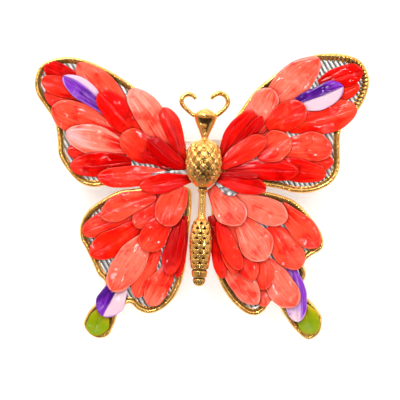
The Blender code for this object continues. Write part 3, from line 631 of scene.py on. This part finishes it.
class Relief:
    """How far the brooch reaches in front of Y = 0 so far, on a square grid over its face."""

    def __init__(self):
        low, high = CAD_BOX
        self.corner = min(low[0], low[2]) - GRID_MARGIN
        self.count = math.ceil((max(high[0], high[2]) + GRID_MARGIN - self.corner) / CELL)
        self.height = np.full((self.count, self.count), -1.0)

    def cells(self, across, up):
        return tuple(((value - self.corner) / CELL).astype(int) for value in (across, up))

    def raise_to(self, across, up, height):
        np.maximum.at(self.height, self.cells(across, up), height)

    def lay(self, outline, height):
        """Sets every cell inside an outline, one edge at a time."""
        centres = self.corner + (np.arange(self.count) + 0.5) * CELL
        inside = np.zeros_like(self.height, bool)
        for a, b in zip(outline, np.roll(outline, -1, 0)):
            crossed = (centres > min(a[0], b[0])) & (centres <= max(a[0], b[0]))
            if crossed.any():
                level = a[1] + (b[1] - a[1]) * (centres[crossed] - a[0]) / (b[0] - a[0])
                inside[crossed] ^= centres[None, :] > level[:, None]
        self.height[inside] = height

    def spread(self):
        """Each cell's highest neighbour, itself included."""
        rows = np.maximum(self.height, np.maximum(np.roll(self.height, 1, 0), np.roll(self.height, -1, 0)))
        return np.maximum(rows, np.maximum(np.roll(rows, 1, 1), np.roll(rows, -1, 1)))


def grid_weights():
    """Each fine sample of a petal as a weighted mean of the corners of the grid square that it is in."""
    weights = np.zeros((SAMPLES_ALONG, SAMPLES_ACROSS, ALONG, ACROSS), np.float32)
    for i, u in enumerate(np.linspace(0, ALONG - 1.001, SAMPLES_ALONG)):
        for j, v in enumerate(np.linspace(0, ACROSS - 1.001, SAMPLES_ACROSS)):
            a, b = int(u), int(v)
            for da, share_u in ((0, 1 - u + a), (1, u - a)):
                for db, share_v in ((0, 1 - v + b), (1, v - b)):
                    weights[i, j, a + da, b + db] = share_u * share_v
    return weights.reshape(SAMPLES_ALONG * SAMPLES_ACROSS, ALONG * ACROSS)


WEIGHTS = grid_weights()
STEPS = 1 - (1 - np.linspace(0, 1, ALONG)) ** 1.4  # rows are closer together towards the tip
U, V = np.meshgrid(STEPS, np.linspace(-1, 1, ACROSS), indexing="ij")


def petal_plan(base, tip, width, chance):
    """Where the petal's grid points are, seen from the front: narrow at the base, rounded at the tip."""
    base, tip = np.array(base) * MM, np.array(tip) * MM
    run = tip - base
    side = np.array([-run[1], run[0]]) / np.linalg.norm(run)
    widen = ROOT_SHARE + (1 - ROOT_SHARE) * np.sin(np.pi / 2 * np.minimum(U / WIDEST, 1))
    close = np.sqrt(np.maximum(1 - (np.maximum(U - WIDEST, 0) / TIP_ROUND) ** 2, 0.02))
    half = width * MM / 2 * widen * close
    phase = chance.uniform(0, 2 * np.pi, 4)
    edge = np.where(V > 0, np.sin(9 * U + phase[0]), np.sin(8 * U + phase[1]))
    ragged = np.where(V > 0, np.sin(23 * U + phase[2]), np.sin(19 * U + phase[3]))
    half = half * (1 + UNEVEN * edge + 0.35 * UNEVEN * ragged)
    bent = chance.uniform(-BEND, BEND) * np.linalg.norm(run) * np.sin(np.pi * U)
    across = base[0] + run[0] * U + side[0] * (half * V + bent)
    up = base[1] + run[1] * U + side[1] * (half * V + bent)
    return across, up


def rest_on(relief, across, up):
    """The lowest fair surface whose back stays PETAL_GAP clear of what is under it."""
    ground = relief.spread()[relief.cells(WEIGHTS @ across.ravel(), WEIGHTS @ up.ravel())]
    needed = (ground + PETAL_GAP + PETAL_THICKNESS * ON_SLOPE).astype(np.float32)
    height = np.full(ALONG * ACROSS, PLATE_HEIGHT + PETAL_GAP + PETAL_THICKNESS, np.float32)
    for _ in range(FAIR_PASSES):
        padded = np.pad(height.reshape(ALONG, ACROSS), 1, "edge")
        mean = (padded[2:, 1:-1] + padded[:-2, 1:-1] + padded[1:-1, 2:] + padded[1:-1, :-2]) / 4
        height = (mean.ravel() + height) / 2
        for _ in range(LIFT_PASSES):
            short = np.maximum(needed - WEIGHTS @ height, 0)
            height = height + (WEIGHTS * short[:, None]).max(axis=0)
    return height.reshape(ALONG, ACROSS).astype(float)


def make_petal(number, name, material, slot, nodes, plan, relief):
    chance = np.random.default_rng(number)
    across, up = petal_plan(*plan, chance)
    width = plan[2] * MM
    height = rest_on(relief, across, up)
    crown = (1 - V * V) * np.sin(np.pi * (0.1 + 0.78 * U))
    height = height + PETAL_CUP * width * crown
    turn = chance.uniform(0, 2 * np.pi, 2)
    height = height + RIPPLE * np.sin(4.4 * V + 3 * U + turn[0]) * np.sin(np.pi * U)
    height = height + RIPPLE * np.sin(7 * U + turn[1]) * V * V
    height = height + TIP_LIFT * np.maximum((U - 0.6) / 0.4, 0) ** 2
    relief.raise_to(*(WEIGHTS @ values.ravel() for values in (across, up, height)))
    mesh = grid_mesh(name, np.stack([across, -height, up], axis=-1))
    layer = mesh.uv_layers.new(name="petal")
    uv = np.stack([U, number + 0.002 + 0.996 * (V + 1) / 2], axis=-1).reshape(-1, 2)
    corners = np.empty(len(mesh.loops), int)
    mesh.loops.foreach_get("vertex_index", corners)
    layer.data.foreach_set("uv", uv[corners].ravel())
    if mesh.polygons[0].normal.y > 0:
        mesh.flip_normals()
    petal = add_piece(name, mesh, material, FRAME_BODY, slot, *nodes)
    shell = petal.modifiers.new("shell", "SOLIDIFY")
    shell.thickness = PETAL_THICKNESS
    shell.offset = -1
    fair = petal.modifiers.new("fair", "SUBSURF")
    fair.levels = fair.render_levels = 2
    return petal


def make_petals(outlines):
    relief = Relief()
    for outline in outlines.values():
        relief.lay(outline, RIM_HEIGHT)
    for outline in outlines.values():
        relief.lay(outline + inward(outline) * RIM_WIDTH, PLATE_HEIGHT)
    slots = {part["node"]: part["material_slot"] for part in frame["record"]["subparts"]}
    paints = {("foil", "cream cream cream"): foil_paint()}
    number = 0
    for wing, rows in PETALS.items():
        for node_number, pattern, shades, base, tip, width in rows:
            number += 1
            if (pattern, shades) not in paints:
                paints[pattern, shades] = petal_paint(pattern, shades)
            node = f"petal_{wing}_{node_number:02d}" if node_number else None
            name = f"look_{node}" if node else f"look_petal_{wing}_extra_{number:02d}"
            slot = slots.get(node, "petal_red")
            plan = (base, tip, width)
            material = paints[pattern, shades]
            make_petal(number, name, material, slot, [node] if node else [], plan, relief)


# ---------------------------------------------------------------- frame of the wings


def make_rim(wing, outline, gold):
    """The raised bead round a wing, notched along its inner slope."""
    normal = inward(outline)
    reach = np.arange(len(outline)) * RIM_STEP
    notch = 0.5 + 0.5 * np.cos(2 * np.pi * reach / BEAD_PITCH)
    tip = np.zeros(len(outline))
    if wing == "forewing_right":
        grown = np.clip((outline / MM - TIP_FROM) / TIP_GROWTH, 0, 1)
        tip = grown[:, 0] * grown[:, 1]
    broad = 1 + TIP_WIDENING * tip
    section = []
    painted_dark = []
    for i, (inset, height) in enumerate(RIM_SECTION):
        common, more = BEADED.get(i, (0.0, 0.0))
        strength = common + more * tip
        place = outline + normal * (inset * MM * broad)[:, None]
        lift = height * MM - BEAD_DEPTH * strength * notch
        section.append(np.stack([place[:, 0], -lift * np.ones(len(outline)), place[:, 1]], axis=1))
        # Painted shade: the notches are marked to go brown in the gold's colour
        painted_dark.append(np.clip(strength * notch, 0, 1) * BEAD_PAINTED_SHADE)
    points = np.stack(section, axis=1)
    mesh = grid_mesh(f"look_{wing}_rim", points, ring_along=True, ring_across=True)
    mark = mesh.attributes.new("painted_dark", "FLOAT", "POINT")
    mark.data.foreach_set("value", np.stack(painted_dark, axis=1).ravel())
    if area_sign(outline) > 0:
        mesh.flip_normals()
    return add_piece(mesh.name, mesh, gold, FRAME_BODY, "gold", f"{wing}_rim")


def dress_nodes(names, material):
    for name in names:
        node = frame["nodes"][name]
        for slot in node.material_slots:
            slot.material = material


# ---------------------------------------------------------------- body


def lattice(up, turn, pitch, columns):
    """Where a place is inside its diamond of a crossing lattice, from 0 to 1 both ways."""
    a = up / pitch - columns * turn / (2 * np.pi)
    b = up / pitch + columns * turn / (2 * np.pi)
    return a - np.floor(a), b - np.floor(b)


def domes(up, turn, pitch, columns, depth):
    """Rounded scales with a narrow gap between them. Gives (relief, painted shade in the gaps)."""
    fa, fb = lattice(up, turn, pitch, columns)
    away = ((fa - 0.5) ** 2 + (fb - 0.5) ** 2) * 3.6
    return depth * np.sqrt(np.clip(1 - away, 0, 1)), np.clip(away - 0.75, 0, 1)


def scales(up, turn, pitch, columns, depth):
    """Pine-cone scales: diamonds between crossing ridges, each pitted in its upper part.

    Gives (relief, painted shade in the pits).
    """
    fa, fb = lattice(up, turn, pitch, columns)
    edge = np.minimum(np.minimum(fa, 1 - fa), np.minimum(fb, 1 - fb))
    inside = np.clip((edge - 0.12) / 0.14, 0, 1)
    upper = np.clip((fa + fb - 1) / 0.2 + 0.2, 0, 1)
    pit = inside * upper
    return -depth * pit, pit


def band(up, low, high, soft=0.3):
    """1 between two heights, fading to 0 inside each end."""
    return np.clip((up - low) / soft, 0, 1) * np.clip((high - up) / soft, 0, 1)


def abdomen_relief(up, turn):
    # The pits are painted dark as shade
    cone, pit = scales(up + 0.75, turn, pitch=2.05, columns=8, depth=0.55)
    share = band(up, -15.0, -4.9)
    return share * cone, share * pit


def thorax_relief(up, turn):
    """Large round scales, each with smaller ones on it, and painted shade in the gaps between the large
    ones.
    """
    large, gap = domes(up + 0.5, turn, pitch=2.5, columns=10, depth=0.42)
    small, _ = domes(up, turn + 0.3, pitch=1.1, columns=23, depth=0.1)
    share = band(up, 2.6, 11.6, 0.8)
    return share * (large - 0.2 + small), share * gap * 0.6


def cluster_relief(up, turn):
    """A patch of fine seeds low on the thorax, with a painted dark reflection over it."""
    seeds, gap = domes(up, turn, pitch=0.8, columns=30, depth=0.2)
    share = np.exp(-(((up - 4.9) / 1.8) ** 2) - (turn / 0.6) ** 2)
    # Painted dark reflection: the seeds are marked to go brown, most at the patch's middle
    return share * seeds, np.clip(share * 1.4, 0, 1) * (0.6 + 0.4 * gap)


def ring_relief(up, turn):
    """Turned grooves: two near the abdomen's end and one under the thorax, with painted shade in them."""
    relief = np.zeros((len(up), turn.shape[1]))
    painted_dark = relief.copy()
    for height, depth in RINGS:
        near = np.exp(-(((up - height) / RING_WIDTH) ** 2))
        relief -= depth * near
        painted_dark += near
    return relief, painted_dark


def end_relief(up, turn):
    """Notches round the last bead of the abdomen, with painted shade in them."""
    notch = np.exp(-(((up + 17.9) / 0.35) ** 2)) * (0.5 + 0.5 * np.cos(14 * turn))
    return -0.18 * notch, 0.6 * notch


def waist_relief(up, turn):
    """A shallow flute down the front of the waist rod."""
    flute = band(up, -4.4, 0.6) * np.exp(-((turn / 0.22) ** 2))
    return -0.09 * flute, 0.0


def head_relief(up, turn):
    """A recessed facet that narrows downwards, with painted shade over it that is lighter at its lower left.
    """
    facet = band(up, 13.0, 16.35) * np.clip((0.36 + 0.15 * (up - 13.0) - np.abs(turn)) / 0.14, 0, 1)
    # Here the painted shade is lighter at the facet's lower left
    worn = np.clip(-turn / 0.12, 0, 1) * np.clip((15.1 - up) / 0.5, 0, 1)
    facet = facet * (1 - 0.75 * worn)
    return -0.35 * facet, 0.95 * facet


def make_body(gold):
    """One turned casting: gabled head, scaled thorax, smooth waist, pine-cone abdomen with two rings."""
    section = smooth_curve(BODY_SECTION, BODY_ROWS, closed=False)
    radius = np.maximum(section[:, 0], 0)[:, None]
    up = section[:, 1][:, None]
    angle = np.linspace(-np.pi, np.pi, BODY_COLUMNS, endpoint=False)[None, :] - np.pi / 2
    turn = (angle + np.pi / 2 + np.pi) % (2 * np.pi) - np.pi  # 0 faces the viewer
    relief = np.zeros((BODY_ROWS, BODY_COLUMNS))
    painted_dark = np.zeros((BODY_ROWS, BODY_COLUMNS))
    for part in (
        abdomen_relief,
        thorax_relief,
        cluster_relief,
        ring_relief,
        end_relief,
        waist_relief,
        head_relief,
    ):
        # Each part gives its relief and where to paint dark: painted shade in pits, gaps, rings and notches,
        # and a painted dark reflection low on the thorax
        out, dark = part(up, turn)
        relief += out
        painted_dark += dark
    for bead_up, size in HEAD_BEADS:
        spot = ((up - bead_up) / size) ** 2 + (turn * radius / size) ** 2
        relief += size * np.exp(-spot * 1.2)
        painted_dark *= 1 - np.exp(-spot * 2)
    radius = np.maximum(radius + relief, 0) * MM
    x = radius * np.cos(angle)
    y = np.minimum(-BODY_AXIS_HEIGHT + radius * np.sin(angle) * BODY_DEPTH_SHARE, -BODY_BACK)
    z = up * MM * np.ones((1, BODY_COLUMNS))
    lean_x = x * math.cos(BODY_LEAN) + z * math.sin(BODY_LEAN)
    lean_z = z * math.cos(BODY_LEAN) - x * math.sin(BODY_LEAN)
    mesh = grid_mesh("look_body", np.stack([lean_x, y, lean_z], axis=-1), ring_across=True)
    mark = mesh.attributes.new("painted_dark", "FLOAT", "POINT")
    mark.data.foreach_set("value", np.clip(painted_dark, 0, 1).ravel())
    mesh.flip_normals()
    return add_piece("look_body", mesh, gold, FRAME_BODY, "gold", "body")


def make_keel(gold):
    """The strip behind the thorax that the four wings meet."""
    left = max(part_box(wing)[1][0] for wing in ("forewing_left_rim", "hindwing_left_rim"))
    right = min(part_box(wing)[0][0] for wing in ("forewing_right_rim", "hindwing_right_rim"))
    middle, half = (left + right) / 2, (right - left) / 2
    angle = np.linspace(0, 2 * np.pi, KEEL_CORNERS, endpoint=False) + np.pi / KEEL_CORNERS
    ring = []
    for up, share in KEEL_RINGS:
        box_x = np.clip(1.3 * np.cos(angle), -1, 1) * half * share + middle
        box_y = np.clip(1.3 * np.sin(angle), -1, 1) * KEEL_HALF_DEPTH * share - KEEL_HEIGHT
        ring.append(np.stack([box_x, box_y, np.full(KEEL_CORNERS, up * MM)], axis=1))
    mesh = grid_mesh("look_keel", np.stack(ring), ring_across=True)
    return add_piece("look_keel", mesh, gold, FRAME_BODY, "gold")


def make_antenna(name, points, gold):
    curve = bpy.data.curves.new("look_" + name, "CURVE")
    curve.dimensions = "3D"
    curve.bevel_depth = MM
    curve.bevel_resolution = 6
    curve.use_fill_caps = True
    routed = [(x, z, radius) for (x, z), radius in zip(points, ANTENNA_RADII)]
    route = smooth_curve(routed, ANTENNA_POINTS, closed=False)
    spline = curve.splines.new("POLY")
    spline.points.add(len(route) - 1)
    for target, (x, z, radius) in zip(spline.points, route):
        target.co = (x * MM, -BODY_AXIS_HEIGHT, z * MM, 1)
        target.radius = radius
    spline.use_smooth = True
    return add_piece("look_" + name, curve, gold, FRAME_BODY, "gold", name)


# ---------------------------------------------------------------- stage, light and camera


def stage_plane(name, corners, material):
    mesh = bpy.data.meshes.new(name)
    mesh.from_pydata(corners, [], [(0, 1, 2, 3)])
    plane = bpy.data.objects.new(name, mesh)
    bpy.context.scene.collection.objects.link(plane)
    mesh.materials.append(material)
    return plane


def make_stage():
    """A pale floor below, and a pale card close behind that is only there from the front."""
    low, high = CAD_BOX
    back = high[1] + CARD_GAP
    floor = low[2] - FLOOR_DROP
    pale = Paint("pale_floor", Base_Color=(0.86, 0.85, 0.85), Roughness=0.8)
    corners = [(-FLOOR_REACH, -FLOOR_REACH), (FLOOR_REACH, -FLOOR_REACH), (FLOOR_REACH, FLOOR_REACH)]
    corners.append((-FLOOR_REACH, FLOOR_REACH))
    ground = stage_plane("floor", [(x, y, floor) for x, y in corners], pale.material)
    ground.visible_glossy = False

    card = Paint("pale_card", Base_Color=(0.97, 0.95, 0.95), Roughness=0.9)
    card.set(Emission_Color=(1.0, 0.99, 0.99), Emission_Strength=0.16)
    behind = card.add("ShaderNodeNewGeometry", {}, output="Backfacing")
    clear = card.add("ShaderNodeBsdfTransparent", {})
    one_way = card.tree.nodes.new("ShaderNodeMixShader")
    card.put(one_way.inputs[0], behind)
    card.put(one_way.inputs[1], card.shader.outputs[0])
    card.put(one_way.inputs[2], clear)
    card.put(card.tree.nodes["Material Output"].inputs["Surface"], one_way.outputs[0])
    sides = [(-CARD_REACH, floor), (CARD_REACH, floor), (CARD_REACH, CARD_REACH), (-CARD_REACH, CARD_REACH)]
    backdrop = stage_plane("card", [(x, back, z) for x, z in sides], card.material)
    backdrop.visible_diffuse = False
    backdrop.visible_shadow = False


def graded(tree, output, stops):
    """A grey that follows a value from -1 to 1: (position from 0 to 1, level) at each stop."""
    ramp = tree.nodes.new("ShaderNodeValToRGB")
    while len(ramp.color_ramp.elements) < len(stops):
        ramp.color_ramp.elements.new(0.5)
    for stop, (position, level) in zip(ramp.color_ramp.elements, stops):
        stop.position = position
        stop.color = (level, level * 0.985, level * 0.975, 1)
    half = tree.nodes.new("ShaderNodeMath")
    half.operation = "MULTIPLY_ADD"
    half.inputs[1].default_value = 0.5
    half.inputs[2].default_value = 0.5
    tree.links.new(output, half.inputs[0])
    tree.links.new(half.outputs[0], ramp.inputs[0])
    return ramp.outputs[0]


def multiplied(tree, a, b):
    product = tree.nodes.new("ShaderNodeMix")
    product.data_type = "RGBA"
    product.blend_type = "MULTIPLY"
    product.inputs[0].default_value = 1.0
    tree.links.new(a, product.inputs[6])
    tree.links.new(b, product.inputs[7])
    return product.outputs[2]


def make_world():
    """A pale studio, brighter above and darker below, which gold reflects as light and brown."""
    world = bpy.data.worlds.new("studio")
    bpy.context.scene.world = world
    world.use_nodes = True
    tree = world.node_tree
    background = tree.nodes["Background"]
    place = tree.nodes.new("ShaderNodeTexCoord")
    split = tree.nodes.new("ShaderNodeSeparateXYZ")
    tree.links.new(place.outputs["Generated"], split.inputs[0])
    toward = tree.nodes.new("ShaderNodeVectorMath")
    toward.operation = "DOT_PRODUCT"
    toward.inputs[1].default_value = DARK_SIDE
    tree.links.new(place.outputs["Generated"], toward.inputs[0])

    upward = graded(tree, split.outputs[2], UPWARD)
    ahead = graded(tree, split.outputs[1], AHEAD)
    dark_spot = graded(tree, toward.outputs["Value"], DARK_SPOT)
    light = multiplied(tree, upward, multiplied(tree, ahead, dark_spot))
    tree.links.new(light, background.inputs[0])
    background.inputs[1].default_value = WORLD_STRENGTH

    pale = tree.nodes.new("ShaderNodeBackground")
    pale.inputs[0].default_value = (0.95, 0.945, 0.945, 1)
    seen = tree.nodes.new("ShaderNodeLightPath")
    choose = tree.nodes.new("ShaderNodeMixShader")
    tree.links.new(seen.outputs["Is Camera Ray"], choose.inputs[0])
    tree.links.new(background.outputs[0], choose.inputs[1])
    tree.links.new(pale.outputs[0], choose.inputs[2])
    tree.links.new(choose.outputs[0], tree.nodes["World Output"].inputs[0])


def make_light(name, place, size, power):
    """An area light that points at the middle of the brooch."""
    data = bpy.data.lights.new(name, "AREA")
    data.shape = "RECTANGLE"
    data.size, data.size_y = size
    data.energy = power
    light = bpy.data.objects.new(name, data)
    light.location = place
    light.rotation_euler = (-Vector(place)).to_track_quat("-Z", "Y").to_euler()
    bpy.context.scene.collection.objects.link(light)


def make_camera():
    """Square on to the face, from as far as a 100 mm lens needs to see VIEW_WIDTH."""
    data = bpy.data.cameras.new("camera")
    data.lens = 100
    data.clip_start = 0.01
    camera = bpy.data.objects.new("camera", data)
    across, up = VIEW_MIDDLE
    camera.location = (across, -VIEW_WIDTH * data.lens / data.sensor_width, up)
    camera.rotation_euler = (math.pi / 2, 0, 0)
    bpy.context.scene.collection.objects.link(camera)
    bpy.context.scene.camera = camera


# ---------------------------------------------------------------- put together


def main():
    gold = gold_paint("cast_gold", GOLD, with_painted_dark=True)
    wire_gold = gold_paint("wire_gold", GOLD, with_painted_dark=False)
    silver = silver_paint()
    nickel = nickel_paint()
    outlines = {}
    for wing, points in WINGS.items():
        rough = smooth_curve(np.array(points) * MM, OUTLINE_POINTS, closed=True)
        outlines[wing] = smooth_curve(rough[::2], round(length_of(rough) / RIM_STEP), closed=True)
        make_rim(wing, outlines[wing], gold)
    make_petals(outlines)
    dress_nodes([f"{wing}_plate" for wing in WINGS], silver)
    hardware = ("pin_bar", "pin_joint", "joint_rivet", "pin_stem", "catch_housing", "catch_rotor")
    dress_nodes(hardware, nickel)
    make_body(gold)
    make_keel(gold)
    for name, points in ANTENNAE.items():
        make_antenna(name, points, wire_gold)
    make_stage()
    make_world()
    for name, (place, size, power) in LIGHTS.items():
        make_light(name, place, size, power)
    make_camera()
    bpy.context.scene.view_settings.view_transform = "Standard"


main()
